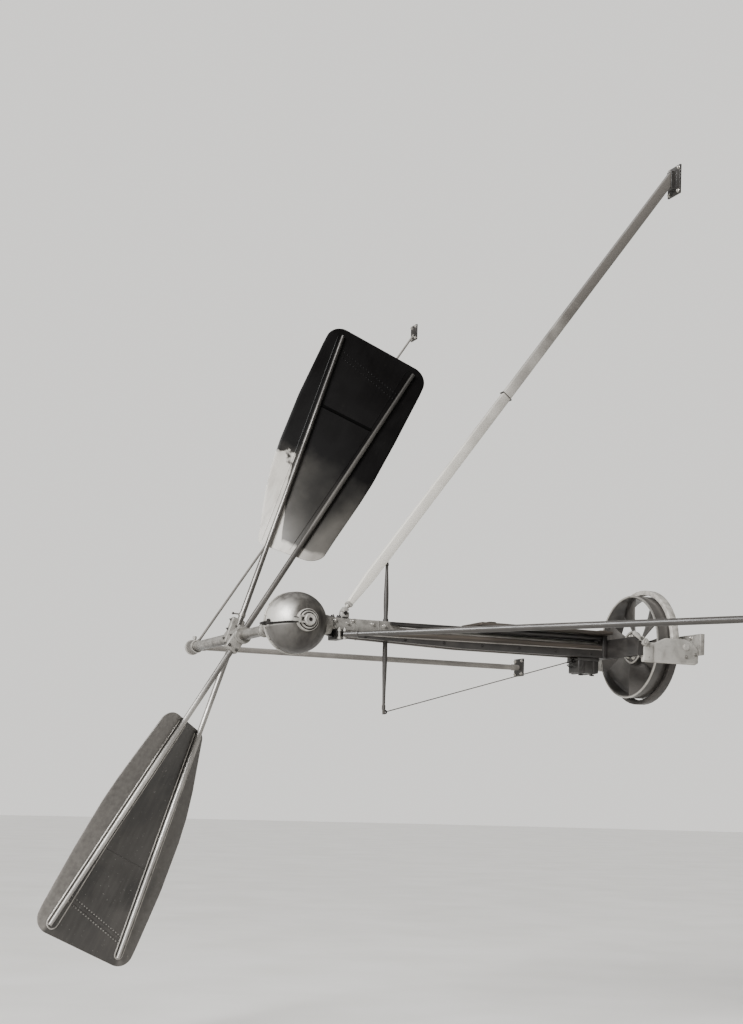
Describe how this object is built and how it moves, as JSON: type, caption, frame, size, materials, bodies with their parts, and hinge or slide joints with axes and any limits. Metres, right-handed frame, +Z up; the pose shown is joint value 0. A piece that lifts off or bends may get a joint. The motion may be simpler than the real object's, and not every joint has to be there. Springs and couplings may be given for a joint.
{
  "type": "airship outrigger propeller",
  "caption": "Paddle propeller on crossed tubes, carried outboard of an airship's car by a beam, struts and a round gear case, with its transverse drive shaft and fan-spoked wheel.",
  "frame": {"origin": "centre of the bearing bridge's back face, where it bolts to the side of the airship's car, on the axis of the drive shaft", "axes": "+X outboard from the car along the drive shaft, +Y along the ship from the propeller towards the near brace, +Z up"},
  "size_m": [3.4613, 5.36, 4.7348],
  "materials": {
    "dark_varnish": "black varnished sheet, worn to a dull sheen",
    "arm_steel": "tapered steel tube, oiled",
    "shaft_steel": "turned bright steel",
    "cast_aluminium": "sand-cast aluminium, matt",
    "case_metal": "spun steel case, dark and dull",
    "dark_steel": "dark grey paint on steel",
    "pale_paint": "pale grey paint on steel",
    "strut_wood": "clear varnished spruce",
    "beam_wood": "dark stained timber",
    "stay_wire": "steel wire"
  },
  "bodies": {
    "outrigger": {"bearing_bridge": "cast_aluminium", "brace_plate": "dark_steel", "brace_tube": "dark_steel", "cheek_far": "cast_aluminium", "cheek_near": "cast_aluminium", "clamp_block": "cast_aluminium", "foot_board": "beam_wood", "gear_case": "case_metal", "king_post_lower": "dark_steel", "king_post_upper": "dark_steel", "king_stay": "stay_wire", "neck_casting": "cast_aluminium", "neck_collar": "cast_aluminium", "nose_cap": "cast_aluminium", "oil_box": "dark_steel", "oil_pipe": "shaft_steel", "outer_bearing": "cast_aluminium", "rail_far": "beam_wood", "rail_near": "beam_wood", "rear_rod": "pale_paint", "rear_rod_plate": "dark_steel", "rear_tube": "pale_paint", "rear_tube_plate": "dark_steel", "shaft_collar": "cast_aluminium", "shaft_pedestal": "cast_aluminium", "side_hoop": "pale_paint", "strut_ferrule": "dark_steel", "strut_lug": "cast_aluminium", "strut_plank": "strut_wood", "strut_plate": "dark_steel", "upper_tube_far": "dark_steel", "upper_tube_near": "dark_steel", "yoke_beam": "dark_steel"},
    "propeller": {"shaft_inner": "shaft_steel", "shaft_outer": "shaft_steel", "hub_block": "cast_aluminium", "arm_tube_front": "arm_steel", "arm_tube_rear": "arm_steel", "blade_upper": "dark_varnish", "blade_lower": "dark_varnish"},
    "drive": {"drive_shaft": "shaft_steel", "drive_wheel": "dark_steel"}
  },
  "joints": [
    {"name": "propeller_spin", "type": "hinge", "parent": "outrigger", "child": "propeller", "pos_m": [2.33, -0.911, 0], "axis": [0, 1, 0], "continuous": true},
    {"name": "drive_spin", "type": "hinge", "parent": "outrigger", "child": "drive", "pos_m": [0.19, 0, 0], "axis": [1, 0, 0], "continuous": true}
  ],
  "couplings": [
    {"joint": "drive_spin", "follows": "propeller_spin", "ratio": -1}
  ]
}
